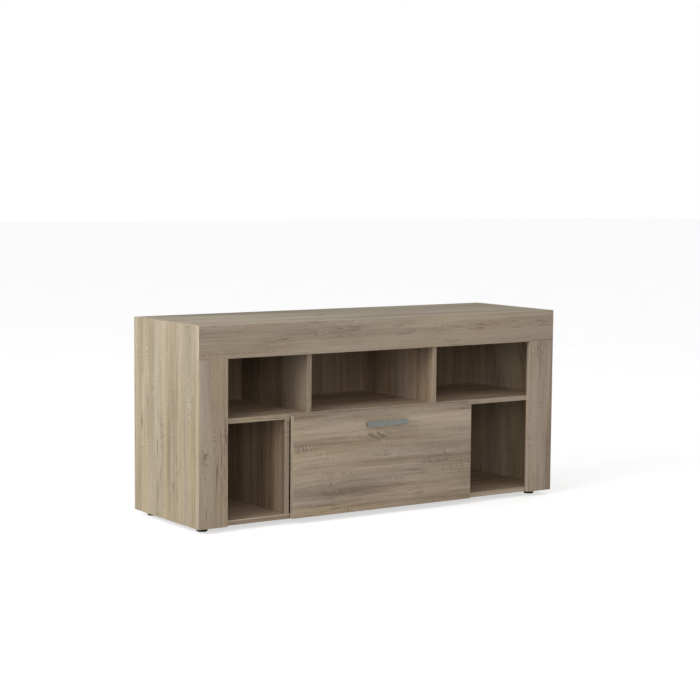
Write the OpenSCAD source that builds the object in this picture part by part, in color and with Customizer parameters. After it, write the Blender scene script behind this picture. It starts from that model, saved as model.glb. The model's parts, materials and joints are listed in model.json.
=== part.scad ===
// Low television stand in oak-look boards: an open carcass with three upper
// compartments, two open lower compartments and a drop-down flap between them.
// +X is the right of the stand, -Y its front and +Z is up. The origin is on the
// floor, under the middle of the whole stand.

/* [Carcass] */
// Width over the two side panels
body_w = 1300; // [1260:10:1500]
// Depth from the face of the front frame to the back of the back panel
body_d = 390; // [390:5:450]
// Height of the boards, without the feet
body_h = 580; // [560:5:640]
// Thickness of every board
board_t = 15; // [15:1:16]
// Thickness of the back panel
back_t = 3; // [2.5:0.5:4]

/* [Front frame] */
// Height of the fascia across the top
fascia_h = 97; // [80:1:110]
// Width of each stile under the fascia
stile_w = 95; // [80:1:105]

/* [Compartments] */
// Clear height of the lower compartments
lower_clear_h = 279.5; // [279.5:0.5:290]
// Clear width of the upper left compartment
upper_left_w = 357.5; // [300:0.5:380]
// Clear width of the upper middle compartment
upper_middle_w = 443; // [400:1:460]
// Clear width of the lower left compartment
lower_left_w = 281.5; // [250:0.5:300]
// Clear width of the compartment behind the flap
flap_bay_w = 645.5; // [600:0.5:660]

/* [Flap] */
// Height of the flap
flap_h = 303; // [300:1:303]
// Gap between the flap and the carcass behind it
flap_gap = 3; // [3:0.5:4]
// Gap between the flap and the plane of the left divider
flap_side_gap = 2; // [2:0.5:5]
// Width of the right divider that the flap leaves bare
flap_reveal = 2; // [1:0.5:4]
// Widest angle that the flap opens to, in degrees
flap_open = 90; // [60:5:90]

/* [Handle] */
// Length of the handle
handle_l = 148; // [140:1:180]
// Height of the handle's grip
handle_h = 16; // [12:1:18]
// Distance that the handle stands out from the flap
handle_reach = 18; // [16:1:28]
// Distance between the handle's two screws
handle_pitch = 128; // [96:32:128]
// Height of the handle's middle above the underside of the carcass
handle_z = 264.5; // [240:0.5:280]

/* [Feet] */
// Height of each foot
foot_h = 16; // [12:1:20]
// Diameter of each foot
foot_d = 32; // [28:1:40]
// Distance from the side of the stand to a foot's centre
foot_inset_x = 43; // [38:1:60]
// Distance from the front frame to a front foot's centre
foot_inset_front = 57; // [45:1:70]
// Distance from the back to a rear foot's centre
foot_inset_back = 37; // [30:1:70]

/* [Stays] */
// Distance from the flap's axis back to the pivot on the flap
stay_pivot_back = 23; // [22:1:25]
// Height of the pivot on the flap above the flap's axis
stay_pivot_up = 188; // [180:1:190]
// Height of the guide's pivot above the flap's axis
guide_up = 145; // [140:1:150]

/* [Hidden] */
$fn = 48;

OAK_SIDE = "#bfae92";
OAK_FRONT = "#a3937b";
OAK_INSIDE = "#8c7a64";
BEECH = "#c9a878";
ALUMINIUM = "#8f978f";
ZINC = "#a9abad";
STEEL = "#8b8d90";
BLACK = "#1c1c1e";
GREY = "#6f7276";
CLEAR = "#d8d8d4";

// Rotations that turn +Z towards each direction
TO_LEFT = [0, -90, 0];
TO_RIGHT = [0, 90, 0];
TO_FRONT = [90, 0, 0];
TO_BACK = [-90, 0, 0];
TO_UP = [0, 0, 0];
TO_DOWN = [180, 0, 0];
// How far a cut runs past the faces that it opens
CUT = 1;
// Play round a part that is pressed in, and round one that turns or slides
TIGHT = 0.02;
RUNNING = 0.08;
// How near a point may lie outside a board and still count as inside it
NEAR = 0.01;

// Main planes
half_w = body_w / 2;
inner_w = half_w - board_t;
back_y = (body_d + flap_gap + handle_reach) / 2;
front_y = back_y - body_d;
carcass_y = front_y + board_t;
rear_y = back_y - back_t;
base_z = foot_h;
floor_z = base_z + board_t;
shelf_z = floor_z + lower_clear_h;
shelf_top_z = shelf_z + board_t;
top_z = base_z + body_h;
ceiling_z = top_z - board_t;
fascia_z = top_z - fascia_h;

// Left faces of the dividers
upper_divider_x = [-inner_w + upper_left_w, -inner_w + upper_left_w + board_t + upper_middle_w];
lower_divider_x = [-inner_w + lower_left_w, -inner_w + lower_left_w + board_t + flap_bay_w];
bay_left_x = lower_divider_x[0] + board_t;
bay_right_x = lower_divider_x[1];

// Flap and its axis
flap_left_x = bay_left_x + flap_side_gap;
flap_right_x = bay_right_x + board_t - flap_reveal;
flap_x = (flap_left_x + flap_right_x) / 2;
flap_lift = 2;
flap_bottom_z = base_z + flap_lift;
flap_back_y = carcass_y - flap_gap;
flap_front_y = flap_back_y - board_t;
axis_in = 7;
axis_up = 6;
axis_y = flap_back_y - axis_in;
axis_z = flap_bottom_z + axis_up;

// Handle's screws and their bores in the flap and the handle
handle_screw_r = 2;
handle_thread_l = 10;
handle_flap_bore_r = 2.25;
handle_bore_l = 11;

// Hinges: centre lines, then sizes about the axis
hinge_inset = 90;
hinge_x = [flap_left_x + hinge_inset, flap_right_x - hinge_inset];
knuckle_r = 3.5;
pin_r = 1.5;
pin_l = 41;
leaf_t = 2;
notch_w = 44;
notch_up = 16;
notch_front = 4.3;
arm_w = 15.6;
leaf_w = 40;
arm_back = 1.5;
frame_leaf_in = 2;
frame_leaf_l = 43;
flap_leaf_l = 30;
knuckle_gap = 0.4;
leaf_screw_x = 12;
flap_leaf_screw_z = notch_up - leaf_t + flap_leaf_l * 0.6;

// Stays: the guide's pivot is as far from the axis as the flap's pivot is
stay_r = norm([stay_pivot_back, stay_pivot_up]);
guide_back = sqrt(stay_r * stay_r - guide_up * guide_up);
stay_fall = atan2(stay_pivot_up - guide_up, guide_back - stay_pivot_back);
rod_r = 3;
rod_in = 14;
guide_r = 9;
guide_near = 3;
guide_far = 19;
guide_bore_l = 7.3;
stop_r = 5;
stop_l = 6;
eye_r = 7;
eye_t = 7;
stud_r = 3;
stud_l = 7;
shoulder_r = 5;
shoulder_gap = 0.1;
plate_t = 2;
plate_y = 30;
plate_z = 44;
cheek_t = 2.5;
cheek_gap = 0.2;
bracket_z = 36;
bracket_side = 8;
rivet_head_r = 4.5;
rivet_head_t = 1.5;
rod_spare = 0.5;
rod_l = stay_span(flap_open) + guide_r + rod_spare;

// Magnetic catch, strike plate and bumpers
catch_size = [44, 16, 12];
catch_proud = 0.5;
catch_ear = 9;
catch_ear_in = 3;
catch_ear_d = 10;
catch_ear_t = 3;
strike_size = [36, 2, 16];
strike_drop = 3;
strike_screw_x = 12;
strike_z = shelf_z - catch_size[2] - strike_drop;
bumper_r = 4;
bumper_t = 2.7;
bumper_inset = 30;
bumper_drop = 0.5;

// Small screws: radius of the shank, head and tip, cross slot and lengths
screw_r = 1.75;
screw_head_r = 3.4;
screw_tip_r = 0.3;
screw_l = 14;
flap_screw_l = 13;
bracket_screw_l = 15;
slot_t = 0.8;
slot_part = 1.1;

// Foot's recess and screw
foot_recess_h = 5;
foot_screw_r = 2;
foot_thread_l = 12;

// Fittings inside the boards
cam_r = 7.5;
cam_h = 12;
cam_spare = 0.5;
cam_inset = 34;
cam_edge = 50;
bolt_thread_l = 10;
bolt_thread_r = 2.5;
bolt_shank_r = 2;
bolt_head_r = 3.4;
bolt_head_l = 4;
bolt_bore_r = 4;
bolt_collar_r = 3.5;
bolt_collar_l = 1.5;
dowel_r = 4;
dowel_l = 28;
dowel_in = 9;
dowel_offset = 32;
fascia_dowel_x = inner_w * 0.8;
fascia_dowel_pitch = 350;
stile_dowel_x = half_w - stile_w * 0.75;
long_screw_r = 3.5;
long_screw_tip_r = 2.5;
long_screw_l = 50;
long_screw_head_r = 5;
long_screw_head_h = 2.5;
long_screw_edge = 70;
socket_r = 2.2;
socket_h = 2.5;
back_inset = 1;
bracket_size = 20;
bracket_t = 4;
bracket_screw_out = 13;
nail_l = 20;
nail_r = 0.7;
nail_head_r = 2.2;
nail_head_t = 0.6;
nail_proud = 0.3;
nail_pitch = 150;
nail_end_gap = 30;
nail_corner_gap = 60;

function stay_span(angle) = norm([
    guide_back - stay_pivot_back * cos(angle) + stay_pivot_up * sin(angle),
    guide_up - stay_pivot_up * cos(angle) - stay_pivot_back * sin(angle)
]);

function holds(low, high, point) = min(point - low) >= -NEAR && min(high - point) >= -NEAR;

// The way from the left (-1) or right (1) side panel into the stand
function inwards(side) = side < 0 ? TO_RIGHT : TO_LEFT;

// Places along a length, evenly spaced and no further apart than a pitch
function spread(from, to, pitch) =
    let (steps = ceil((to - from) / pitch)) [for (i = [0:steps]) from + (to - from) * i / steps];

// Each cam joint is [side, y, underside of the board]
cam_sites = [
    for (z = [base_z, shelf_z, ceiling_z])
        for (side = [-1, 1])
            for (y = [carcass_y + cam_edge, rear_y - cam_edge]) [side, y, z]
];

// Each dowel is [a point where two boards meet, the way into the board drilled deeper]
dowel_sites = concat(
    [
        for (site = cam_sites)
            let (offset = site[1] < 0 ? dowel_offset : -dowel_offset)
                [[site[0] * inner_w, site[1] + offset, site[2] + board_t / 2], inwards(site[0])]
    ],
    [
        for (x = lower_divider_x)
            for (y = [carcass_y + cam_edge, rear_y - cam_edge])
                [[x + board_t / 2, y, shelf_z], TO_DOWN]
    ],
    [
        for (x = upper_divider_x)
            for (y = [carcass_y + cam_edge, rear_y - cam_edge])
                [[x + board_t / 2, y, ceiling_z], TO_DOWN]
    ],
    [for (x = lower_divider_x) [[x + board_t / 2, (carcass_y + rear_y) / 2, floor_z], TO_UP]],
    [for (x = upper_divider_x) [[x + board_t / 2, (carcass_y + rear_y) / 2, shelf_top_z], TO_UP]],
    [
        for (side = [-1, 1])
            for (z = [base_z + cam_edge, fascia_z - cam_edge, top_z - fascia_h / 2])
                [[side * (half_w - board_t / 2), carcass_y, z], TO_BACK]
    ],
    [
        for (side = [-1, 1])
            for (z = [base_z, shelf_z])
                [[side * stile_dowel_x, carcass_y, z + board_t / 2], TO_BACK]
    ],
    [
        for (x = spread(-fascia_dowel_x, fascia_dowel_x, fascia_dowel_pitch))
            [[x, carcass_y, top_z - board_t / 2], TO_BACK]
    ],
    [for (side = [-1, 1]) [[side * (half_w - stile_w / 2), front_y + board_t / 2, fascia_z], TO_DOWN]]
);

// Each divider screw is the point on the underside of the board that it goes up through
divider_screw_sites = concat(
    [
        for (x = lower_divider_x)
            for (y = [carcass_y + long_screw_edge, rear_y - long_screw_edge]) [x + board_t / 2, y, base_z]
    ],
    [
        for (x = upper_divider_x)
            for (y = [carcass_y + long_screw_edge, rear_y - long_screw_edge]) [x + board_t / 2, y, shelf_z]
    ]
);

strike_screw_sites = [
    for (side = [-1, 1])
        [flap_x + side * strike_screw_x, flap_back_y + strike_size[1], strike_z + strike_size[2] / 2]
];

foot_sites = [
    for (y = [front_y + foot_inset_front, back_y - foot_inset_back])
        for (side = [-1, 1]) [side * (half_w - foot_inset_x), y]
];

// One bracket behind the fascia in each upper compartment
bracket_x = [-inner_w * 0.7, (upper_divider_x[0] + board_t + upper_divider_x[1]) / 2, inner_w * 0.7];

nail_sites = concat(
    [
        for (side = [-1, 1])
            for (z = spread(base_z + nail_end_gap, top_z - nail_end_gap, nail_pitch))
                [side * (half_w - board_t / 2), z]
    ],
    [
        for (z = [base_z, shelf_z, ceiling_z])
            for (x = spread(-inner_w + nail_corner_gap, inner_w - nail_corner_gap, nail_pitch))
                [x, z + board_t / 2]
    ],
    [for (x = lower_divider_x) [x + board_t / 2, floor_z + lower_clear_h / 2]],
    [for (x = upper_divider_x) [x + board_t / 2, (shelf_top_z + ceiling_z) / 2]]
);

// Plain shapes

module block(low, high) {
    translate(low) cube(high - low);
}

module rod(at, towards, radius, length) {
    translate(at) rotate(towards) cylinder(r = radius, h = length);
}

// A screw with a sunk head whose top is at the given point, driven the given way
module sunk_screw(at, towards, length) {
    head_h = screw_head_r - screw_r;
    translate(at) rotate(towards) {
        difference() {
            cylinder(r1 = screw_head_r, r2 = screw_r, h = head_h);
            rotate(45) cross_slot(screw_head_r);
        }
        cylinder_from(head_h, screw_r, length - head_h - screw_r);
        translate([0, 0, length - screw_r]) cylinder(r1 = screw_r, r2 = screw_tip_r, h = screw_r);
    }
}

module cylinder_from(start, radius, length) {
    translate([0, 0, start]) cylinder(r = radius, h = length);
}

// Cross-shaped drive recess at the top of a screw head of the given radius
module cross_slot(head_r) {
    for (turn = [0, 90])
        rotate(turn) translate([-head_r * slot_part / 2, -slot_t / 2, -CUT])
            cube([head_r * slot_part, slot_t, CUT + slot_t]);
}

// Hole with a sunk mouth that a sunk screw lies in
module sunk_hole(at, towards, depth) {
    hole_r = screw_r + TIGHT;
    mouth_r = screw_head_r + TIGHT;
    translate(at) rotate(towards) {
        cylinder_from(-CUT, hole_r, depth + CUT);
        translate([0, 0, -TIGHT]) cylinder(r1 = mouth_r, r2 = hole_r, h = mouth_r - screw_r);
    }
}

// Cuts that the fittings need in the boards

module dowel_bore(site) {
    translate(site[0]) rotate(site[1]) cylinder_from(-dowel_in - CUT, dowel_r + TIGHT, dowel_l + 2 * CUT);
}

module cam_thread_bore(site) {
    rod([site[0] * (inner_w + bolt_thread_l), site[1], site[2] + board_t / 2],
        inwards(site[0]), bolt_thread_r + TIGHT, bolt_thread_l + CUT);
}

module cam_pocket(site) {
    rod([site[0] * (inner_w - cam_inset), site[1], site[2] - CUT], TO_UP,
        cam_r + TIGHT, cam_h + cam_spare + CUT);
    rod([site[0] * (inner_w + CUT), site[1], site[2] + board_t / 2],
        inwards(site[0]), bolt_bore_r, cam_inset + CUT);
}

module long_screw_hole(site) {
    rod(site - [0, 0, CUT], TO_UP, long_screw_r + TIGHT, board_t + 2 * CUT);
    translate(site - [0, 0, TIGHT])
        cylinder(r1 = long_screw_head_r + TIGHT, r2 = long_screw_r + TIGHT, h = long_screw_head_h + TIGHT);
}

module long_screw_pilot(site) {
    rod(site, TO_UP, long_screw_tip_r + TIGHT, long_screw_l + CUT);
}

// A board between two corners, with every bore that the fittings need in it
module board(low, high) {
    difference() {
        block(low, high);
        for (site = dowel_sites)
            if (holds(low, high, site[0])) dowel_bore(site);
        for (site = cam_sites) {
            if (holds(low, high, [site[0] * (inner_w + board_t / 2), site[1], site[2] + board_t / 2]))
                cam_thread_bore(site);
            if (holds(low, high, [site[0] * (inner_w - cam_inset), site[1], site[2] + board_t / 2]))
                cam_pocket(site);
        }
        for (site = divider_screw_sites) {
            if (holds(low, high, site + [0, 0, board_t / 2])) long_screw_hole(site);
            if (holds(low, high, site + [0, 0, 2 * board_t])) long_screw_pilot(site);
        }
    }
}

// Carcass boards

module side_left() {
    color(OAK_SIDE) board([-half_w, carcass_y, base_z], [-inner_w, rear_y, top_z]);
}

module side_right() {
    color(OAK_SIDE) board([inner_w, carcass_y, base_z], [half_w, rear_y, top_z]);
}

module top_panel() {
    color(OAK_SIDE) board([-inner_w, carcass_y, ceiling_z], [inner_w, rear_y, top_z]);
}

module bottom_panel() {
    color(OAK_INSIDE) board([-inner_w, carcass_y, base_z], [inner_w, rear_y, floor_z]);
}

module middle_shelf() {
    color(OAK_INSIDE) board([-inner_w, carcass_y, shelf_z], [inner_w, rear_y, shelf_top_z]);
}

module upper_divider(x) {
    color(OAK_INSIDE) board([x, carcass_y, shelf_top_z], [x + board_t, rear_y, ceiling_z]);
}

module lower_divider(x) {
    color(OAK_INSIDE) board([x, carcass_y, floor_z], [x + board_t, rear_y, shelf_z]);
}

module upper_divider_left() {
    upper_divider(upper_divider_x[0]);
}

module upper_divider_right() {
    upper_divider(upper_divider_x[1]);
}

module lower_divider_left() {
    lower_divider(lower_divider_x[0]);
}

module lower_divider_right() {
    lower_divider(lower_divider_x[1]);
}

module back_panel() {
    color(OAK_INSIDE)
        block([-half_w + back_inset, rear_y, base_z + back_inset],
              [half_w - back_inset, back_y, top_z - back_inset]);
}

// Front frame

module fascia() {
    color(OAK_FRONT) board([-half_w, front_y, fascia_z], [half_w, carcass_y, top_z]);
}

module stile_left() {
    color(OAK_FRONT) board([-half_w, front_y, base_z], [-half_w + stile_w, carcass_y, fascia_z]);
}

module stile_right() {
    color(OAK_FRONT) board([half_w - stile_w, front_y, base_z], [half_w, carcass_y, fascia_z]);
}

// Flap and handle

module flap_door() {
    color(OAK_FRONT) difference() {
        block([flap_left_x, flap_front_y, flap_bottom_z],
              [flap_right_x, flap_back_y, flap_bottom_z + flap_h]);
        for (x = hinge_x)
            block([x - notch_w / 2, axis_y - notch_front, flap_bottom_z - CUT],
                  [x + notch_w / 2, flap_back_y + CUT, axis_z + notch_up]);
        for (side = [-1, 1])
            rod([flap_x + side * handle_pitch / 2, flap_front_y - CUT, base_z + handle_z], TO_BACK,
                handle_flap_bore_r, board_t + 2 * CUT);
    }
}

module handle() {
    grip_t = 5;
    post_w = 12;
    face_y = flap_front_y - handle_reach;
    color(ALUMINIUM) difference() {
        union() {
            block([flap_x - handle_l / 2, face_y, base_z + handle_z - handle_h / 2],
                  [flap_x + handle_l / 2, face_y + grip_t, base_z + handle_z + handle_h / 2]);
            for (side = [-1, 1])
                translate([flap_x + side * handle_pitch / 2, 0, base_z + handle_z])
                    block([-post_w / 2, face_y + grip_t / 2, -post_w / 2],
                          [post_w / 2, flap_front_y, post_w / 2]);
        }
        for (side = [-1, 1])
            rod([flap_x + side * handle_pitch / 2, flap_front_y + CUT, base_z + handle_z], TO_FRONT,
                handle_screw_r + TIGHT, handle_bore_l + CUT);
    }
}

module handle_screws() {
    head_r = 4;
    head_t = 2.2;
    color(STEEL)
        for (side = [-1, 1])
            translate([flap_x + side * handle_pitch / 2, flap_back_y, base_z + handle_z]) rotate(TO_FRONT) {
                cylinder_from(-CUT / 2, handle_screw_r, board_t + handle_thread_l);
                difference() {
                    cylinder_from(-head_t, head_r, head_t);
                    translate([0, 0, -head_t]) cross_slot(head_r);
                }
            }
}

// Flap hinges, drawn about the flap's axis

module at_hinge(x) {
    translate([x, axis_y, axis_z]) children();
}

module frame_hinge_leaf(x) {
    half_arm = arm_w / 2;
    seat = floor_z - axis_z;
    plate_start = carcass_y - axis_y + frame_leaf_in;
    color(ZINC) at_hinge(x) difference() {
        union() {
            rod([-half_arm, 0, 0], TO_RIGHT, knuckle_r, arm_w);
            block([-half_arm, arm_back, 0], [half_arm, arm_back + leaf_t, seat + leaf_t]);
            block([-half_arm, arm_back, seat], [half_arm, plate_start + CUT, seat + leaf_t]);
            block([-leaf_w / 2, plate_start, seat], [leaf_w / 2, plate_start + frame_leaf_l, seat + leaf_t]);
        }
        rod([-half_arm - CUT, 0, 0], TO_RIGHT, pin_r + RUNNING, arm_w + 2 * CUT);
        for (side = [-1, 1])
            sunk_hole([side * leaf_screw_x, plate_start + frame_leaf_l / 2, seat + leaf_t], TO_DOWN,
                      leaf_t + CUT);
    }
}

module flap_hinge_leaf(x) {
    half_arm = arm_w / 2 + knuckle_gap;
    half_leaf = leaf_w / 2;
    web_z = notch_up - leaf_t;
    color(ZINC) at_hinge(x) difference() {
        union() {
            for (side = [0, 1])
                mirror([side, 0, 0]) {
                    rod([half_arm, 0, 0], TO_RIGHT, knuckle_r, half_leaf - half_arm);
                    block([half_arm, -leaf_t / 2, 0], [half_leaf, leaf_t / 2, notch_up]);
                }
            block([-half_leaf, -leaf_t / 2, web_z], [half_leaf, axis_in + leaf_t, notch_up]);
            block([-half_leaf, axis_in, web_z], [half_leaf, axis_in + leaf_t, web_z + flap_leaf_l]);
        }
        rod([-half_leaf - CUT, 0, 0], TO_RIGHT, pin_r + TIGHT, leaf_w + 2 * CUT);
        for (side = [-1, 1])
            sunk_hole([side * leaf_screw_x, axis_in + leaf_t, flap_leaf_screw_z], TO_FRONT, leaf_t + CUT);
    }
}

module hinge_pin(x) {
    color(STEEL) at_hinge(x) rod([-pin_l / 2, 0, 0], TO_RIGHT, pin_r, pin_l);
}

module frame_hinge_leaf_left() {
    frame_hinge_leaf(hinge_x[0]);
}

module frame_hinge_leaf_right() {
    frame_hinge_leaf(hinge_x[1]);
}

module flap_hinge_leaf_left() {
    flap_hinge_leaf(hinge_x[0]);
}

module flap_hinge_leaf_right() {
    flap_hinge_leaf(hinge_x[1]);
}

module hinge_pin_left() {
    hinge_pin(hinge_x[0]);
}

module hinge_pin_right() {
    hinge_pin(hinge_x[1]);
}

module frame_hinge_screws() {
    color(STEEL)
        for (x = hinge_x)
            for (side = [-1, 1])
                translate([x + side * leaf_screw_x, carcass_y + frame_leaf_in + frame_leaf_l / 2, floor_z])
                    sunk_screw([0, 0, leaf_t], TO_DOWN, screw_l);
}

module flap_hinge_screws() {
    color(STEEL)
        for (x = hinge_x)
            for (side = [-1, 1])
                sunk_screw([x + side * leaf_screw_x, flap_back_y + leaf_t, axis_z + flap_leaf_screw_z],
                           TO_FRONT, flap_screw_l);
}

// Stays, drawn for the left side; the right one is the mirror image about its own divider

module at_stay(side) {
    if (side < 0)
        translate([bay_left_x, axis_y, axis_z]) children();
    else
        translate([bay_right_x, axis_y, axis_z]) mirror([1, 0, 0]) children();
}

module at_guide() {
    translate([0, guide_back, guide_up]) children();
}

module stay_plate(side) {
    color(ZINC) at_stay(side) at_guide() difference() {
        union() {
            block([0, -plate_y / 2, -plate_z / 2], [plate_t, plate_y / 2, plate_z / 2]);
            rod([0, 0, 0], TO_RIGHT, shoulder_r, guide_near - shoulder_gap);
            rod([0, 0, 0], TO_RIGHT, stud_r, guide_near + stud_l);
        }
        for (z = [-1, 1])
            sunk_hole([plate_t, 0, z * plate_z / 3], TO_LEFT, plate_t + CUT);
    }
}

module stay_guide(side) {
    color(BLACK) at_stay(side) at_guide() difference() {
        rod([guide_near, 0, 0], TO_RIGHT, guide_r, guide_far - guide_near);
        rod([guide_near - CUT, 0, 0], TO_RIGHT, stud_r + RUNNING, guide_bore_l + CUT);
        translate([rod_in, 0, 0]) rotate([-stay_fall, 0, 0])
            rod([0, -guide_r - CUT, 0], TO_BACK, rod_r + RUNNING, 2 * (guide_r + CUT));
    }
}

module stay_rod(side) {
    color(STEEL) at_stay(side) translate([rod_in, stay_pivot_back, stay_pivot_up]) rotate([-stay_fall, 0, 0])
        difference() {
            union() {
                rod([-eye_t / 2, 0, 0], TO_RIGHT, eye_r, eye_t);
                rod([0, 0, 0], TO_BACK, rod_r, rod_l);
                rod([0, rod_l, 0], TO_BACK, stop_r, stop_l);
            }
            rod([-eye_t, 0, 0], TO_RIGHT, stud_r + RUNNING, 2 * eye_t);
        }
}

module stay_bracket(side) {
    cheek_x = rod_in + eye_t / 2 + cheek_gap;
    head_x = rod_in - eye_t / 2 - cheek_gap - rivet_head_t;
    color(ZINC) at_stay(side) translate([0, 0, stay_pivot_up]) difference() {
        union() {
            block([rod_in - bracket_side, axis_in, -bracket_z / 2],
                  [cheek_x + cheek_t, axis_in + plate_t, bracket_z / 2]);
            block([cheek_x, axis_in, -eye_r], [cheek_x + cheek_t, stay_pivot_back, eye_r]);
            rod([cheek_x, stay_pivot_back, 0], TO_RIGHT, eye_r, cheek_t);
            rod([head_x, stay_pivot_back, 0], TO_RIGHT, stud_r, cheek_x - head_x + CUT / 2);
            rod([head_x, stay_pivot_back, 0], TO_RIGHT, rivet_head_r, rivet_head_t);
        }
        for (z = [-1, 1])
            sunk_hole([rod_in, axis_in + plate_t, z * bracket_z / 3], TO_FRONT, plate_t + CUT);
    }
}

module stay_plate_left() {
    stay_plate(-1);
}

module stay_plate_right() {
    stay_plate(1);
}

module stay_guide_left() {
    stay_guide(-1);
}

module stay_guide_right() {
    stay_guide(1);
}

module stay_rod_left() {
    stay_rod(-1);
}

module stay_rod_right() {
    stay_rod(1);
}

module stay_bracket_left() {
    stay_bracket(-1);
}

module stay_bracket_right() {
    stay_bracket(1);
}

module stay_plate_screws() {
    color(STEEL)
        for (side = [-1, 1])
            at_stay(side) at_guide()
                for (z = [-1, 1])
                    sunk_screw([plate_t, 0, z * plate_z / 3], TO_LEFT, screw_l);
}

module stay_bracket_screws() {
    color(STEEL)
        for (side = [-1, 1])
            at_stay(side) translate([0, 0, stay_pivot_up])
                for (z = [-1, 1])
                    sunk_screw([rod_in, axis_in + plate_t, z * bracket_z / 3], TO_FRONT, screw_l);
}

// Magnetic catch under the shelf, its strike plate and the flap's bumpers

module at_catch_screw(side) {
    translate([
        flap_x + side * (catch_size[0] + catch_ear) / 2,
        carcass_y + catch_ear_in + catch_ear_d / 2,
        shelf_z - catch_ear_t
    ])
        children();
}

module magnet_catch() {
    low = [flap_x - catch_size[0] / 2, carcass_y - catch_proud, shelf_z - catch_size[2]];
    ear_low = [low[0] - catch_ear, carcass_y + catch_ear_in, shelf_z - catch_ear_t];
    color(GREY) difference() {
        union() {
            block(low, low + catch_size);
            block(ear_low, ear_low + [catch_size[0] + 2 * catch_ear, catch_ear_d, catch_ear_t]);
        }
        for (side = [-1, 1])
            at_catch_screw(side) cylinder_from(-CUT, screw_r + TIGHT, catch_ear_t + 2 * CUT);
    }
}

module catch_screws() {
    head_r = 3.2;
    head_t = 1.8;
    length = 12;
    color(STEEL)
        for (side = [-1, 1])
            at_catch_screw(side) {
                cylinder_from(-CUT / 2, screw_r, length);
                difference() {
                    cylinder_from(-head_t, head_r, head_t);
                    translate([0, 0, -head_t]) cross_slot(head_r);
                }
            }
}

module strike_plate() {
    low = [flap_x - strike_size[0] / 2, flap_back_y, strike_z];
    color(ZINC) difference() {
        block(low, low + strike_size);
        for (site = strike_screw_sites)
            sunk_hole(site, TO_FRONT, strike_size[1] + CUT);
    }
}

module strike_screws() {
    color(STEEL)
        for (site = strike_screw_sites)
            sunk_screw(site, TO_FRONT, flap_screw_l);
}

module flap_bumpers() {
    color(CLEAR)
        for (x = [flap_left_x + bumper_inset, flap_right_x - bumper_inset])
            rod([x, flap_back_y, flap_bottom_z + flap_h - bumper_r - bumper_drop], TO_BACK,
                bumper_r, bumper_t);
}

// Feet

module foot(i) {
    rim = foot_d / 2;
    soft = 1.5;
    step = 2;
    recess_r = 5;
    hole_r = 2.1;
    color(BLACK) translate([foot_sites[i][0], foot_sites[i][1], 0]) rotate_extrude($fn = 64)
        polygon([
            [recess_r, 0], [rim - soft, 0], [rim, soft], [rim, foot_h - 2 * step],
            [rim - step, foot_h - step], [rim - step, foot_h],
            [hole_r, foot_h], [hole_r, foot_recess_h], [recess_r, foot_recess_h]
        ]);
}

module foot_front_left() {
    foot(0);
}

module foot_front_right() {
    foot(1);
}

module foot_back_left() {
    foot(2);
}

module foot_back_right() {
    foot(3);
}

module foot_screws() {
    head_r = 4;
    head_t = 2.5;
    color(STEEL)
        for (site = foot_sites)
            translate([site[0], site[1], foot_recess_h]) {
                cylinder_from(-CUT / 2, foot_screw_r, foot_h - foot_recess_h + foot_thread_l);
                difference() {
                    cylinder_from(-head_t, head_r, head_t);
                    translate([0, 0, -head_t]) cross_slot(head_r);
                }
            }
}

// Fittings that hold the boards together

module cam_locks() {
    color(ZINC)
        for (site = cam_sites)
            difference() {
                rod([site[0] * (inner_w - cam_inset), site[1], site[2]], TO_UP, cam_r, cam_h);
                rod([site[0] * (inner_w - cam_inset + cam_r + CUT), site[1], site[2] + board_t / 2],
                    inwards(site[0]), bolt_bore_r, cam_r + CUT + bolt_head_l);
                translate([site[0] * (inner_w - cam_inset), site[1], site[2]]) cross_slot(cam_r);
            }
}

module cam_bolts() {
    head_start = bolt_thread_l + cam_inset - bolt_head_l / 2;
    color(ZINC)
        for (site = cam_sites)
            translate([site[0] * (inner_w + bolt_thread_l), site[1], site[2] + board_t / 2])
                rotate(inwards(site[0])) {
                    cylinder(r = bolt_thread_r, h = bolt_thread_l);
                    cylinder_from(bolt_thread_l - CUT, bolt_shank_r, head_start - bolt_thread_l + 2 * CUT);
                    cylinder_from(bolt_thread_l, bolt_collar_r, bolt_collar_l);
                    cylinder_from(head_start, bolt_head_r, bolt_head_l);
                }
}

module dowels() {
    color(BEECH)
        for (site = dowel_sites)
            translate(site[0]) rotate(site[1]) cylinder_from(-dowel_in, dowel_r, dowel_l);
}

module divider_screws() {
    color(ZINC)
        for (site = divider_screw_sites)
            translate(site) {
                difference() {
                    union() {
                        cylinder(r1 = long_screw_head_r, r2 = long_screw_r, h = long_screw_head_h);
                        cylinder_from(long_screw_head_h, long_screw_r, board_t - long_screw_head_h);
                    }
                    translate([0, 0, -CUT]) cylinder(r = socket_r, h = socket_h + CUT, $fn = 6);
                }
                cylinder_from(board_t - CUT, long_screw_tip_r, long_screw_l - board_t);
            }
}

module fascia_brackets() {
    color(GREY)
        for (x = bracket_x)
            translate([x - bracket_size / 2, carcass_y, ceiling_z - bracket_size]) difference() {
                union() {
                    block([0, 0, 0], [bracket_size, bracket_t, bracket_size]);
                    block([0, 0, bracket_size - bracket_t], [bracket_size, bracket_size, bracket_size]);
                }
                sunk_hole([bracket_size / 2, bracket_t, bracket_size - bracket_screw_out], TO_FRONT,
                          bracket_t + CUT);
                sunk_hole([bracket_size / 2, bracket_screw_out, bracket_size - bracket_t], TO_UP,
                          bracket_t + CUT);
            }
}

module bracket_screws() {
    color(STEEL)
        for (x = bracket_x)
            translate([x, carcass_y, ceiling_z - bracket_size]) {
                sunk_screw([0, bracket_t, bracket_size - bracket_screw_out], TO_FRONT, bracket_screw_l);
                sunk_screw([0, bracket_screw_out, bracket_size - bracket_t], TO_UP, bracket_screw_l);
            }
}

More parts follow.
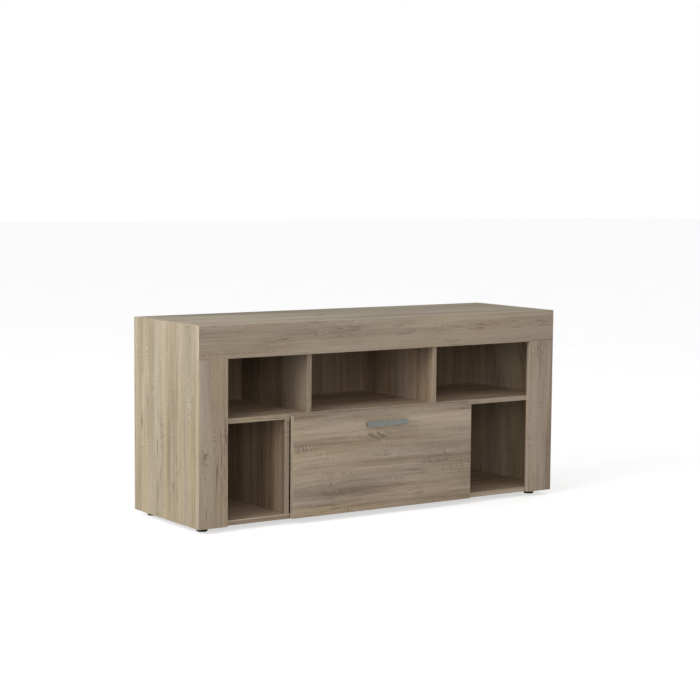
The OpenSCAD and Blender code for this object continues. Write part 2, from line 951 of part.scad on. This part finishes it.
module back_nails() {
    color(STEEL)
        for (site = nail_sites)
            translate([site[0], back_y + nail_proud, site[1]]) rotate(TO_FRONT) {
                cylinder(r = nail_head_r, h = nail_head_t, $fn = 24);
                cylinder_from(nail_head_t / 2, nail_r, nail_l);
            }
}

side_left();
side_right();
top_panel();
bottom_panel();
middle_shelf();
upper_divider_left();
upper_divider_right();
lower_divider_left();
lower_divider_right();
back_panel();
fascia();
stile_left();
stile_right();
flap_door();
handle();
handle_screws();
frame_hinge_leaf_left();
frame_hinge_leaf_right();
flap_hinge_leaf_left();
flap_hinge_leaf_right();
hinge_pin_left();
hinge_pin_right();
frame_hinge_screws();
flap_hinge_screws();
stay_plate_left();
stay_plate_right();
stay_guide_left();
stay_guide_right();
stay_rod_left();
stay_rod_right();
stay_bracket_left();
stay_bracket_right();
stay_plate_screws();
stay_bracket_screws();
magnet_catch();
catch_screws();
strike_plate();
strike_screws();
flap_bumpers();
foot_front_left();
foot_front_right();
foot_back_left();
foot_back_right();
foot_screws();
cam_locks();
cam_bolts();
dowels();
divider_screws();
fascia_brackets();
bracket_screws();
back_nails();
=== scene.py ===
"""Looks of a low television stand in light oak-look boards with a drop-down flap.

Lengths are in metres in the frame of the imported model: +X along the stand, -Y to its front, +Z up.
"""

import json
import math

import bmesh
import bpy
from mathutils import Matrix, Vector

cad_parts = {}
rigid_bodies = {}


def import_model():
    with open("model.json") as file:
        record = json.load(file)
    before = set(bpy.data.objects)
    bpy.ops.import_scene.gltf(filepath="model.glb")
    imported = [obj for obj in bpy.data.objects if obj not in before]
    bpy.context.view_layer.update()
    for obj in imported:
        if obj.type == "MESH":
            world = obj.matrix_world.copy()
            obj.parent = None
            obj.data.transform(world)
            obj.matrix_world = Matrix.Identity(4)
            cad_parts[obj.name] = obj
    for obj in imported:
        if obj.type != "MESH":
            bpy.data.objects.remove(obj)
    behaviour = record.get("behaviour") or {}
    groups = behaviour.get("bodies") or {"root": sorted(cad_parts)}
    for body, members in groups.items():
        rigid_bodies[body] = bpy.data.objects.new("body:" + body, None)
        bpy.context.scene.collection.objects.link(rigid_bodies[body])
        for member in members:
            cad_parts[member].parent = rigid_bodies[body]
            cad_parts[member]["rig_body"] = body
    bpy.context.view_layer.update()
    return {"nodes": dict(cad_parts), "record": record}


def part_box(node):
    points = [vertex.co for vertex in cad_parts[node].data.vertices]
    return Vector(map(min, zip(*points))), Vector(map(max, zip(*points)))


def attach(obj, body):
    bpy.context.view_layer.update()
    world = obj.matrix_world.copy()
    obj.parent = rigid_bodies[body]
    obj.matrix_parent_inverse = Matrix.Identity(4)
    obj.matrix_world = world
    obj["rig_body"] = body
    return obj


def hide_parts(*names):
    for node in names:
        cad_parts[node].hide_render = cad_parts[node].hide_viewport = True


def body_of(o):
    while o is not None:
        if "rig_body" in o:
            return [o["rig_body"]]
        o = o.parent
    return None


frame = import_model()
nodes = frame["nodes"]

X, Y, Z = 0, 1, 2

# Board name: (axis of its thickness, axis of its grain, seed of its pattern, tone, gain). The gain is
# partly the board's own lightness and partly painted light and shade, set board by board against how the
# lamps light it: the middle shelf is painted brighter where the fascia shades it, the right stile brighter
# where less light reaches it, and the left upper divider darker, as painted shade.
BOARDS = {
    "side_left": (X, Z, 1.7, "outside", 1.06),
    "side_right": (X, Z, 5.2, "outside", 1.12),
    "top_panel": (Z, X, 8.9, "outside", 1.0),
    "bottom_panel": (Z, X, 12.4, "inside", 1.22),
    "middle_shelf": (Z, X, 15.1, "inside", 1.34),
    "upper_divider_left": (X, Z, 19.6, "inside", 0.77),
    "upper_divider_right": (X, Z, 23.3, "inside", 1.05),
    "lower_divider_left": (X, Z, 27.8, "inside", 0.96),
    "lower_divider_right": (X, Z, 31.5, "inside", 1.0),
    "fascia": (Y, X, 35.2, "front", 1.0),
    "stile_left": (Y, Z, 39.7, "front", 1.02),
    "stile_right": (Y, Z, 44.6, "front", 1.20),
    "flap_door": (Y, X, 47.6, "front", 1.21),
}
# Knots of a board: (offset along the grain and across it from the board's middle, half length,
# half width, strength)
KNOTS = {
    "flap_door": [
        (-0.035, 0.0730, 0.042, 0.011, 1.5),
        (-0.175, -0.0870, 0.045, 0.007, 1.0),
        (0.190, -0.0220, 0.050, 0.006, 0.8),
    ],
    "fascia": [(-0.400, -0.0025, 0.055, 0.008, 0.8), (0.430, 0.0125, 0.060, 0.008, 0.6)],
    "stile_left": [(-0.0425, -0.0295, 0.045, 0.012, 1.3)],
    "stile_right": [(0.2125, -0.0175, 0.045, 0.008, 0.5)],
    "side_left": [(-0.036, 0.0135, 0.060, 0.009, 1.1), (-0.186, -0.0565, 0.040, 0.007, 0.8)],
    "side_right": [(0.034, 0.0435, 0.055, 0.010, 0.8)],
    "top_panel": [(0.250, 0.0435, 0.080, 0.010, 0.4), (-0.380, -0.0665, 0.070, 0.008, 0.35)],
}
# How far a knot pushes the grain lines aside, in parts of its half width
KNOT_PUSH = 1.1
# Width of the rounding on a board's outer corners
ARRIS = 0.0006
# A face looks along an axis when its normal's part on that axis is above this
SQUARE_ON = 0.6
# What a board's front and its two large faces add to its seed, so that no two faces match
FRONT_SEED, FACE_SEED = 3.3, 6.1
# Seed of the back panel's print
BACK_SEED = 61.0


class Graph:
    """One material's nodes. A value given to a method is a number, a tuple or another node's socket."""

    def __init__(self, name):
        self.material = bpy.data.materials.new(name)
        self.material.use_nodes = True
        self.tree = self.material.node_tree
        self.shader = self.tree.nodes["Principled BSDF"]
        self.coordinates = self.tree.nodes.new("ShaderNodeTexCoord")

    def put(self, socket, value):
        if isinstance(value, bpy.types.NodeSocket):
            self.tree.links.new(value, socket)
        else:
            socket.default_value = value

    def node(self, kind, *values, **settings):
        made = self.tree.nodes.new(kind)
        for name, value in settings.items():
            setattr(made, name, value)
        for socket, value in zip(made.inputs, values):
            self.put(socket, value)
        return made

    def maths(self, operation, *values, clamp=False):
        return self.node("ShaderNodeMath", *values, operation=operation, use_clamp=clamp).outputs[0]

    def add(self, a, b):
        return self.maths("ADD", a, b)

    def times(self, a, b):
        return self.maths("MULTIPLY", a, b)

    def choose(self, factor, a, b):
        """a where the factor is 0, b where it is 1."""
        return self.add(a, self.times(factor, self.maths("SUBTRACT", b, a)))

    def scaled(self, vector, factors):
        return self.node("ShaderNodeVectorMath", vector, factors, operation="MULTIPLY").outputs[0]

    def noise(self, vector, stretch=(1, 1, 1), detail=2.0, roughness=0.5):
        """Noise from 0 to 1. stretch is how many times it varies in a metre along each axis."""
        made = self.node("ShaderNodeTexNoise")
        self.put(made.inputs["Vector"], self.scaled(vector, stretch))
        self.put(made.inputs["Scale"], 1.0)
        self.put(made.inputs["Detail"], detail)
        self.put(made.inputs["Roughness"], roughness)
        return made.outputs[0]

    def window(self, value, low, high):
        """0 below low, 1 above high, and a smooth step between them."""
        made = self.node("ShaderNodeMapRange", value, low, high, 0.0, 1.0)
        made.interpolation_type = "SMOOTHSTEP"
        return made.outputs[0]

    def colours(self, factor, stops):
        ramp = self.node("ShaderNodeValToRGB", factor)
        places = ramp.color_ramp.elements
        while len(places) < len(stops):
            places.new(0.5)
        for place, (at, colour) in zip(places, stops):
            place.position = at
            place.color = (*colour, 1)
        return ramp.outputs[0]

    def blend(self, factor, a, b, kind="MIX"):
        made = self.node("ShaderNodeMix", data_type="RGBA", blend_type=kind)
        self.put(made.inputs[0], factor)
        self.put(made.inputs[6], a)
        self.put(made.inputs[7], b)
        return made.outputs[2]

    def separate(self, vector):
        return self.node("ShaderNodeSeparateXYZ", vector).outputs

    def bump(self, height, distance):
        made = self.node("ShaderNodeBump")
        self.put(made.inputs["Height"], height)
        self.put(made.inputs["Distance"], distance)
        self.put(self.shader.inputs["Normal"], made.outputs[0])

    def finish(self, **values):
        for name, value in values.items():
            self.put(self.shader.inputs[name.replace("_", " ")], value)
        return self.material


def third_axis(first, second):
    return X + Y + Z - first - second


def board_coordinates(g, thickness, grain, seed):
    """A point's place along the grain, across it and in a slice of its own for each face of the board.
    The edge bands have their grain along the edge."""
    cross = third_axis(thickness, grain)
    point = g.separate(g.coordinates.outputs["Object"])
    normal = g.separate(g.coordinates.outputs["Normal"])
    facing = [g.maths("GREATER_THAN", g.maths("ABSOLUTE", n), SQUARE_ON) for n in normal]
    along = g.choose(facing[grain], point[grain], point[cross])
    across = g.choose(facing[thickness], point[thickness], point[cross])
    front = g.maths("GREATER_THAN", normal[thickness], 0.0)
    face_seed = g.add(g.times(front, FRONT_SEED), g.times(facing[thickness], FACE_SEED))
    slice_ = g.add(face_seed, seed)
    return g.node("ShaderNodeCombineXYZ", along, across, slice_).outputs[0], facing[thickness]


# Dark line, middle and pale colour of each kind of printed oak
TONES = {
    "outside": ((0.192, 0.144, 0.094), (0.374, 0.303, 0.210), (0.512, 0.441, 0.320)),
    "front": ((0.180, 0.132, 0.092), (0.368, 0.290, 0.211), (0.498, 0.414, 0.318)),
    "inside": ((0.172, 0.116, 0.074), (0.361, 0.264, 0.180), (0.480, 0.370, 0.266)),
}
# Levels of light in the figure at which the print has those three colours
PRINT_LEVELS = (0.16, 0.46, 0.80)
# Slow drifts of the print's colour towards grey and towards honey
GREY_DRIFT = (0.955, 0.995, 1.065, 1)
HONEY_DRIFT = (1.01, 0.995, 0.915, 1)
# How pale an edge band is beside its board's faces. The flap's and the shelf's are duller than them: the
# flap's edge is painted duller against the lamp light that falls on it, the shelf's undoes the painted
# brightening of its faces, and the left upper divider's paler value undoes the painted shade on its faces,
# so these three are painted light and shade.
EDGE_SHADE = 1.07
EDGE_PALENESS_WITH_PAINTED_LIGHT = {"flap_door": 0.78, "middle_shelf": 0.77, "upper_divider_left": 1.20}
# Tint of the edge bands: those of the inner boards are greyer
EDGE_TINTS = {"outside": (1.0, 1.0, 1.0), "front": (1.0, 1.0, 1.0), "inside": (1.0, 1.07, 1.13)}


def printed(g, light, tone):
    """The printed oak's colour where its figure has this level of light."""
    return g.colours(light, list(zip(PRINT_LEVELS, TONES[tone])))


def knot_fields(g, along, across, name, grain, cross):
    """How far a board's knots push the grain lines aside, and how much they darken them."""
    low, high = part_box(name)
    middle = (low + high) / 2
    push, darken = 0.0, 0.0
    for off_along, off_across, half_length, half_width, strength in KNOTS.get(name, []):
        a = g.times(g.add(along, -(middle[grain] + off_along)), 1 / half_length)
        b = g.times(g.add(across, -(middle[cross] + off_across)), 1 / half_width)
        reach = g.maths("EXPONENT", g.times(g.add(g.times(a, a), g.times(b, b)), -1.0))
        push = g.add(push, g.times(reach, half_width * KNOT_PUSH))
        darken = g.add(darken, g.times(reach, strength))
    return push, darken


def oak(name, thickness, grain, seed, tone, gain_with_painted_light):
    """Printed light oak: soft stripes, flame figures, knots, fine fibre and short saw marks."""
    g = Graph("oak_" + name)
    flat, on_face = board_coordinates(g, thickness, grain, seed)
    along, across, slice_ = g.separate(flat)

    flame_place = g.window(g.noise(flat, (1.7, 9.0, 1), 1.0), 0.55, 0.72)
    flame = g.times(g.noise(flat, (4.5, 30.0, 1), 1.5), g.times(flame_place, 0.030))
    drift = g.times(g.noise(flat, (0.9, 3.5, 1), 2.0), 0.026)
    ripple = g.times(g.noise(flat, (11.0, 40.0, 1), 2.0), 0.0030)
    push, darken = knot_fields(g, along, across, name, grain, third_axis(thickness, grain))
    bent = g.add(g.add(g.add(across, drift), g.add(flame, ripple)), push)
    lines = g.node("ShaderNodeCombineXYZ", along, bent, slice_).outputs[0]

    clouds = g.noise(flat, (1.1, 6.0, 1), 2.0, 0.5)
    bands = g.noise(lines, (0.9, 22.0, 1), 2.0, 0.55)
    stripes = g.noise(lines, (3.2, 105.0, 1), 3.0, 0.62)
    threads = g.noise(lines, (8.0, 400.0, 1), 3.0, 0.65)
    fibre = g.noise(lines, (24.0, 1700.0, 1), 2.0, 0.6)
    dashes = g.noise(lines, (13.0, 210.0, 3), 2.0, 0.5)
    pores = g.window(g.noise(lines, (70.0, 1300.0, 2), 1.0, 0.5), 0.60, 0.70)

    light = 0.46
    for part, weight in ((clouds, 0.60), (bands, 0.66), (stripes, 0.42), (threads, 0.36), (fibre, 0.34)):
        light = g.add(light, g.times(g.add(part, -0.5), weight))

    dash_place = g.window(g.noise(flat, (3.0, 24.0, 1), 2.0), 0.50, 0.68)
    dark_dash = g.times(g.window(dashes, 0.56, 0.66), g.add(g.times(dash_place, 0.90), 0.10))
    light = g.add(light, g.times(dark_dash, -0.30))
    light = g.add(light, g.times(pores, -0.13))
    figure = g.window(stripes, 0.47, 0.60)
    light = g.add(light, g.times(g.times(flame_place, figure), -0.13))
    tilted = g.node("ShaderNodeCombineXYZ", along, g.add(bent, g.times(along, 0.5)), slice_).outputs[0]
    feather = g.window(g.noise(tilted, (30.0, 240.0, 5), 2.0, 0.6), 0.48, 0.60)
    knot_lines = g.add(g.times(feather, 0.8), g.times(figure, 0.4))
    light = g.add(light, g.times(g.times(darken, knot_lines), -0.34))

    sheared = g.node("ShaderNodeCombineXYZ", g.add(along, g.times(across, 0.25)), across, slice_).outputs[0]
    saw = g.noise(sheared, (300.0, 28.0, 1), 1.5, 0.5)
    saw_place = g.window(g.noise(flat, (8.0, 46.0, 2), 2.0), 0.595, 0.68)
    light = g.add(light, g.times(g.times(g.add(saw, -0.5), saw_place), 0.80))

    colour = printed(g, light, tone)
    grey = g.window(g.noise(flat, (1.2, 14.0, 1), 2.0), 0.42, 0.66)
    colour = g.blend(grey, colour, GREY_DRIFT, "MULTIPLY")
    honey = g.window(g.noise(flat, (1.8, 16.0, 4), 2.0), 0.44, 0.66)
    colour = g.blend(honey, colour, HONEY_DRIFT, "MULTIPLY")
    edge_colour = g.blend(1.0, colour, (*EDGE_TINTS[tone], 1), "MULTIPLY")
    colour = g.blend(on_face, edge_colour, colour)
    # The board's gain, and the edge bands' own gain, scale the print's colour: both are partly its own
    # lightness and partly painted light and shade.
    level = g.choose(on_face, gain_with_painted_light * EDGE_PALENESS_WITH_PAINTED_LIGHT.get(name, EDGE_SHADE), gain_with_painted_light)
    colour = g.node("ShaderNodeVectorMath", colour, operation="SCALE")
    g.put(colour.inputs["Scale"], level)

    relief = g.add(g.times(threads, 0.7), g.add(g.times(dark_dash, -0.8), g.times(pores, -0.7)))
    g.bump(relief, 0.00012)
    roughness = g.add(g.times(threads, 0.14), g.add(g.times(dark_dash, 0.08), 0.46))
    return g.finish(Base_Color=colour.outputs[0], Roughness=roughness, Specular_IOR_Level=0.35)


def arris(tone):
    """The corner where an edge band meets a face: partly rubbed wear and a paler seam, partly a painted
    highlight along the corner.
    """
    g = Graph("arris_" + tone)
    point = g.coordinates.outputs["Object"]
    _, middle, pale = (tuple(c * t for c, t in zip(colour, EDGE_TINTS[tone])) for colour in TONES[tone])
    worn = g.noise(point, (35.0, 35.0, 35.0), 3.0, 0.6)
    # The pale end, above the print's own pale, is partly rubbed wear and partly a painted highlight along
    # the corner.
    colour = g.colours(worn, [(0.30, middle), (0.66, tuple(1.05 * c for c in pale))])
    g.bump(g.noise(point, (900.0, 900.0, 900.0)), 0.00004)
    return g.finish(Base_Color=colour, Roughness=g.add(g.times(worn, 0.2), 0.35))


def chipboard():
    """The raw core of a board, seen in its bores, pockets and notches."""
    g = Graph("chipboard_core")
    point = g.coordinates.outputs["Object"]
    chips = g.noise(point, (420.0, 420.0, 420.0), 4.0, 0.75)
    lumps = g.noise(point, (110.0, 110.0, 110.0), 2.0, 0.5)
    light = g.add(g.times(chips, 0.65), g.times(lumps, 0.35))
    g.bump(chips, 0.0005)
    return g.finish(
        Base_Color=g.colours(light, [(0.34, (0.230, 0.150, 0.082)), (0.64, (0.560, 0.420, 0.260))]),
        Roughness=g.add(g.times(chips, 0.15), 0.72),
        Specular_IOR_Level=0.2,
    )


# Material slots of a board, and of a fitting (its faces, then its corners)
DECOR, CORNER, CORE = 0, 1, 2
# Points closer than this are one point
NEAR = 0.000005
# Turn between two faces: below the first they are one flat, below the second their edge is shaded
# smooth, and above the third it is sharp and gets rounded
FLAT_ANGLE = math.radians(0.5)
SMOOTH_ANGLE = math.radians(12)
SHARP_ANGLE = math.radians(35)
slot_of = {part["node"]: part["material_slot"] for part in frame["record"]["subparts"]}


def whole_faces(name):
    """A node's mesh joined up, with one face for each flat of the solid."""
    bm = bmesh.new()
    bm.from_mesh(nodes[name].data)
    bmesh.ops.remove_doubles(bm, verts=bm.verts, dist=NEAR)
    bmesh.ops.dissolve_limit(
        bm, angle_limit=FLAT_ANGLE, verts=bm.verts, edges=bm.edges, delimit={"NORMAL"}
    )
    return bm


def round_off(bm, edges, width):
    bmesh.ops.bevel(
        bm, geom=edges, offset=width, segments=2, profile=0.5,
        affect="EDGES", clamp_overlap=True, material=CORNER,
    )
    bmesh.ops.dissolve_degenerate(bm, dist=NEAR / 3, edges=bm.edges)


def stand_in(name, bm, kind, materials):
    """A piece that takes the place of a node, on the same body."""
    mesh = bpy.data.meshes.new(name + kind)
    bm.to_mesh(mesh)
    bm.free()
    for material in materials:
        mesh.materials.append(material)
    piece = bpy.data.objects.new(name + kind, mesh)
    bpy.context.scene.collection.objects.link(piece)
    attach(piece, body_of(nodes[name])[0])
    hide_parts(name)


def make_board(name, materials):
    """A board with its bores, pockets and notches, softly rounded outer corners and a raw core."""
    low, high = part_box(name)
    bm = whole_faces(name)

    def outer_planes(points):
        return [
            axis for axis in (X, Y, Z) for end in (low, high)
            if all(abs(point[axis] - end[axis]) < NEAR for point in points)
        ]

    for face in bm.faces:
        face.material_index = DECOR if outer_planes([v.co for v in face.verts]) else CORE
        face.smooth = False
    round_off(bm, [e for e in bm.edges if len(outer_planes([v.co for v in e.verts])) == 2], ARRIS)
    stand_in(name, bm, "_board", materials)


def make_fitting(name, width, materials):
    """A metal or plastic part with its sharp edges rounded off and its curved faces smooth."""
    bm = whole_faces(name)
    for face in bm.faces:
        face.material_index = DECOR
        face.smooth = True
    round_off(bm, [e for e in bm.edges if e.calc_face_angle(0) > SHARP_ANGLE], width)
    for edge in bm.edges:
        edge.smooth = edge.calc_face_angle(0) < SMOOTH_ANGLE
    stand_in(name, bm, "_part", materials)


def dress(node, *materials):
    """Gives a node its materials through its object's own slots."""
    while len(node.data.materials) < len(materials):
        node.data.materials.append(None)
    for slot, material in zip(node.material_slots, materials):
        slot.link = "OBJECT"
        slot.material = material


arrises = {tone: arris(tone) for tone in TONES}
core = chipboard()
for name, (thickness, grain, seed, tone, gain_with_painted_light) in BOARDS.items():
    make_board(name, (oak(name, thickness, grain, seed, tone, gain_with_painted_light), arrises[tone], core))


def hardboard():
    """Back panel: printed oak towards the front, bare brown fibre board on its back and edges. Its print is
    set darker than the boards' as painted shade on the backs of the compartments.
    """
    g = Graph("hardboard")
    point = g.coordinates.outputs["Object"]
    px, py, pz = g.separate(point)
    _, ny, _ = g.separate(g.coordinates.outputs["Normal"])
    grain = g.node("ShaderNodeCombineXYZ", pz, px, BACK_SEED).outputs[0]
    drift = g.times(g.noise(grain, (1.3, 4.0, 1), 2.0), 0.055)
    lines = g.node("ShaderNodeCombineXYZ", pz, g.add(px, drift), BACK_SEED).outputs[0]
    bands = g.noise(lines, (0.35, 24.0, 1), 2.0, 0.55)
    stripes = g.noise(lines, (1.6, 105.0, 1), 3.0, 0.6)
    threads = g.noise(lines, (7.0, 420.0, 1), 3.0, 0.65)
    figure = g.add(g.times(bands, 0.55), g.times(stripes, 0.50))
    # The low offset here darkens the print: painted shade on the compartments' backs.
    light = g.add(figure, g.add(g.times(threads, 0.3), -0.29))
    print_with_painted_shade = printed(g, light, "inside")
    chips = g.noise(point, (160.0, 160.0, 160.0), 5.0, 0.7)
    cloud = g.noise(point, (7.0, 7.0, 7.0), 3.0, 0.55)
    bare = g.colours(
        g.add(g.times(chips, 0.6), g.times(cloud, 0.4)),
        [(0.30, (0.150, 0.090, 0.050)), (0.50, (0.250, 0.160, 0.092)), (0.72, (0.350, 0.240, 0.150))],
    )
    is_front = g.maths("LESS_THAN", ny, -0.5)
    g.bump(g.times(chips, g.maths("SUBTRACT", 1.0, is_front)), 0.0003)
    return g.finish(
        Base_Color=g.blend(is_front, bare, print_with_painted_shade),
        Roughness=g.choose(is_front, g.add(g.times(chips, 0.2), 0.6), 0.5),
        Specular_IOR_Level=0.3,
    )


dress(nodes["back_panel"], hardboard())


def metal(name, dark, pale, roughness, brushed=None, cloud_scale=60.0, bump=0.00002):
    """Metal with a brushed, drawn or cast surface. brushed is the axis that its fine lines follow."""
    g = Graph(name)
    point = g.coordinates.outputs["Object"]
    stretch = [2200.0, 2200.0, 2200.0]
    if brushed is not None:
        stretch[brushed] = 35.0
    lines = g.noise(point, tuple(stretch), 2.0, 0.5)
    cloud = g.noise(point, (cloud_scale,) * 3, 4.0, 0.6)
    light = g.add(g.times(lines, 0.55), g.times(cloud, 0.45))
    g.bump(lines, bump)
    return g.finish(
        Base_Color=g.colours(light, [(0.35, dark), (0.65, pale)]),
        Metallic=1.0,
        Roughness=g.add(g.times(light, 0.24), roughness - 0.12),
    )


def plastic(name, dark, pale, roughness, grain_scale=1500.0, bump=0.00006, soft=0.0):
    """Moulded plastic with a fine eroded texture and faint rubbed patches."""
    g = Graph(name)
    point = g.coordinates.outputs["Object"]
    grain = g.noise(point, (grain_scale,) * 3, 2.0, 0.5)
    rubbed = g.noise(point, (90.0, 90.0, 90.0), 4.0, 0.6)
    g.bump(grain, bump)
    light = g.add(g.times(grain, 0.35), g.times(rubbed, 0.65))
    return g.finish(
        Base_Color=g.colours(light, [(0.35, dark), (0.68, pale)]),
        Roughness=g.add(g.times(rubbed, 0.25), roughness - 0.12),
        Subsurface_Weight=soft,
        Subsurface_Scale=0.002,
    )


def beech_wood():
    """Beech of the dowels, with its grain along X."""
    g = Graph("beech_wood")
    point = g.coordinates.outputs["Object"]
    rays = g.noise(point, (90.0, 900.0, 900.0), 3.0, 0.6)
    tone = g.noise(point, (20.0, 20.0, 20.0), 2.0)
    g.bump(rays, 0.0001)
    return g.finish(
        Base_Color=g.colours(g.add(g.times(rays, 0.6), g.times(tone, 0.4)),
                             [(0.32, (0.46, 0.29, 0.15)), (0.66, (0.68, 0.49, 0.29))]),
        Roughness=g.add(g.times(rays, 0.2), 0.5),
    )


# How rubbed corners differ: brighter by a factor and a step up to a limit, and less rough
RUB_GAIN, RUB_LIFT, RUB_LIMIT = 1.25, 0.01, 0.9
RUB_POLISH = 0.08


def worn(make, name, dark, pale, roughness, *rest):
    """A finish, and the brighter and smoother one on its rubbed corners."""
    rubbed = [tuple(min(RUB_GAIN * c + RUB_LIFT, RUB_LIMIT) for c in colour) for colour in (dark, pale)]
    face = make(name, dark, pale, roughness, *rest)
    return face, make(name + "_worn", *rubbed, roughness - RUB_POLISH, *rest)


# The CAD's material slots: (make, name, dark and pale colour, roughness, then what make takes next)
FINISHES = {
    "handle_metal": worn(metal, "satin_aluminium", (0.34, 0.355, 0.33), (0.48, 0.505, 0.47), 0.46, X),
    "plated_steel": worn(metal, "zinc_plate", (0.58, 0.58, 0.57), (0.76, 0.76, 0.75), 0.46, None),
    "bright_steel": worn(metal, "drawn_steel", (0.55, 0.55, 0.56), (0.72, 0.72, 0.73), 0.22, Y),
    "screw_steel": worn(metal, "screw_plate", (0.42, 0.41, 0.38), (0.62, 0.61, 0.57), 0.42, None, 300.0),
    "zinc_casting": worn(
        metal, "cast_zinc", (0.36, 0.37, 0.38), (0.55, 0.56, 0.57), 0.48, None, 400.0, 0.00006
    ),
    "beech": (beech_wood(),),
    "black_plastic": worn(plastic, "black_plastic", (0.005, 0.005, 0.005), (0.015, 0.015, 0.015), 0.58),
    "grey_plastic": worn(plastic, "grey_plastic", (0.23, 0.24, 0.25), (0.34, 0.35, 0.36), 0.50),
    "bumper_plastic": worn(
        plastic, "bumper_plastic", (0.62, 0.62, 0.58), (0.80, 0.80, 0.76), 0.35, 1500.0, 0.00006, 0.4
    ),
}
# Widths of the rounding on the fittings. The screws, nails, pins, bolts, locks, dowels and the strike
# plate aren't listed, and stay as the CAD draws them.
ROUNDING = {
    "handle": 0.0008, "magnet_catch": 0.0004, "fascia_brackets": 0.0004, "flap_bumpers": 0.0006,
}
for part in ("foot_front_left", "foot_front_right", "foot_back_left", "foot_back_right"):
    ROUNDING[part] = 0.0004
for part in (
    "frame_hinge_leaf", "flap_hinge_leaf", "stay_plate", "stay_guide", "stay_rod", "stay_bracket",
):
    for side in ("_left", "_right"):
        ROUNDING[part + side] = 0.0002
for name, slot in slot_of.items():
    if name in ROUNDING:
        make_fitting(name, ROUNDING[name], FINISHES[slot])
    elif slot in FINISHES:
        dress(nodes[name], FINISHES[slot][DECOR])


# Camera: where it stands, the way it points and its lens
CAMERA_AT = (-3.181, -4.6365, 1.021)
CAMERA_HEADING = math.radians(34.36)
CAMERA_DIP = math.radians(5.47)
CAMERA_ROLL = math.radians(0.49)
CAMERA_LENS = 94.1
CAMERA_SIGHT = 60

# Soft lights: (where they stand, width and height, power), all aimed at the middle of the stand
LIGHTS = {
    "key": ((-4.5, -1.0, 2.6), (3.0, 2.4), 145),
    "side": ((-4.8, 0.2, 2.0), (3.0, 2.4), 22),
    "fill": ((-4.4, -6.2, 2.4), (4.0, 2.6), 84),
}
LIGHTS_AIM = (0, 0, 0.3)
# Half the floor's side, how much paler the camera alone sees it, and the light of the room itself
FLOOR_HALF = 30.0
FLOOR_GLOW = 0.62
ROOM_LIGHT = 0.52


def make_camera():
    data = bpy.data.cameras.new("camera")
    data.lens = CAMERA_LENS
    data.clip_end = CAMERA_SIGHT
    camera = bpy.data.objects.new("camera", data)
    bpy.context.scene.collection.objects.link(camera)
    turn = Matrix.Rotation(-CAMERA_HEADING, 4, "Z") @ Matrix.Rotation(math.pi / 2 - CAMERA_DIP, 4, "X")
    camera.matrix_world = Matrix.Translation(CAMERA_AT) @ turn @ Matrix.Rotation(CAMERA_ROLL, 4, "Z")
    bpy.context.scene.camera = camera


def softbox(name, at, aim, size, power):
    data = bpy.data.lights.new(name, "AREA")
    data.shape = "RECTANGLE"
    data.size, data.size_y = size
    data.energy = power
    light = bpy.data.objects.new(name, data)
    bpy.context.scene.collection.objects.link(light)
    light.location = at
    light.rotation_mode = "QUATERNION"
    light.rotation_quaternion = (Vector(aim) - Vector(at)).to_track_quat("-Z", "Y")


def make_floor(seen_glow):
    """A pale floor. seen_glow lightens it for the camera alone, so the boards get no more light."""
    corners = [(x * FLOOR_HALF, y * FLOOR_HALF, 0) for x, y in ((-1, -1), (1, -1), (1, 1), (-1, 1))]
    mesh = bpy.data.meshes.new("floor")
    mesh.from_pydata(corners, [], [(0, 1, 2, 3)])
    floor = bpy.data.objects.new("floor", mesh)
    bpy.context.scene.collection.objects.link(floor)
    g = Graph("pale_floor")
    soft = g.noise(g.coordinates.outputs["Object"], (3.0, 3.0, 3.0), 3.0)
    seen = g.node("ShaderNodeLightPath").outputs["Is Camera Ray"]
    g.finish(
        Base_Color=g.colours(soft, [(0.3, (0.60, 0.60, 0.60)), (0.7, (0.64, 0.64, 0.64))]),
        Roughness=0.9,
        Emission_Color=(1, 1, 1, 1),
        Emission_Strength=g.times(seen, seen_glow),
    )
    mesh.materials.append(g.material)


def make_world(strength):
    """An even white room, as bright as the floor where the camera looks past everything."""
    world = bpy.data.worlds.new("studio")
    world.use_nodes = True
    tree = world.node_tree
    background = tree.nodes["Background"]
    background.inputs["Color"].default_value = (1, 1, 1, 1)
    seen = tree.nodes.new("ShaderNodeLightPath").outputs["Is Camera Ray"]
    level = tree.nodes.new("ShaderNodeMapRange")
    level.inputs["To Min"].default_value = strength
    level.inputs["To Max"].default_value = 1.0
    tree.links.new(seen, level.inputs["Value"])
    tree.links.new(level.outputs[0], background.inputs["Strength"])
    bpy.context.scene.world = world


bpy.context.scene.view_settings.view_transform = "Standard"
make_camera()
make_floor(FLOOR_GLOW)
make_world(ROOM_LIGHT)
for name, (at, size, power) in LIGHTS.items():
    softbox(name, at, LIGHTS_AIM, size, power)
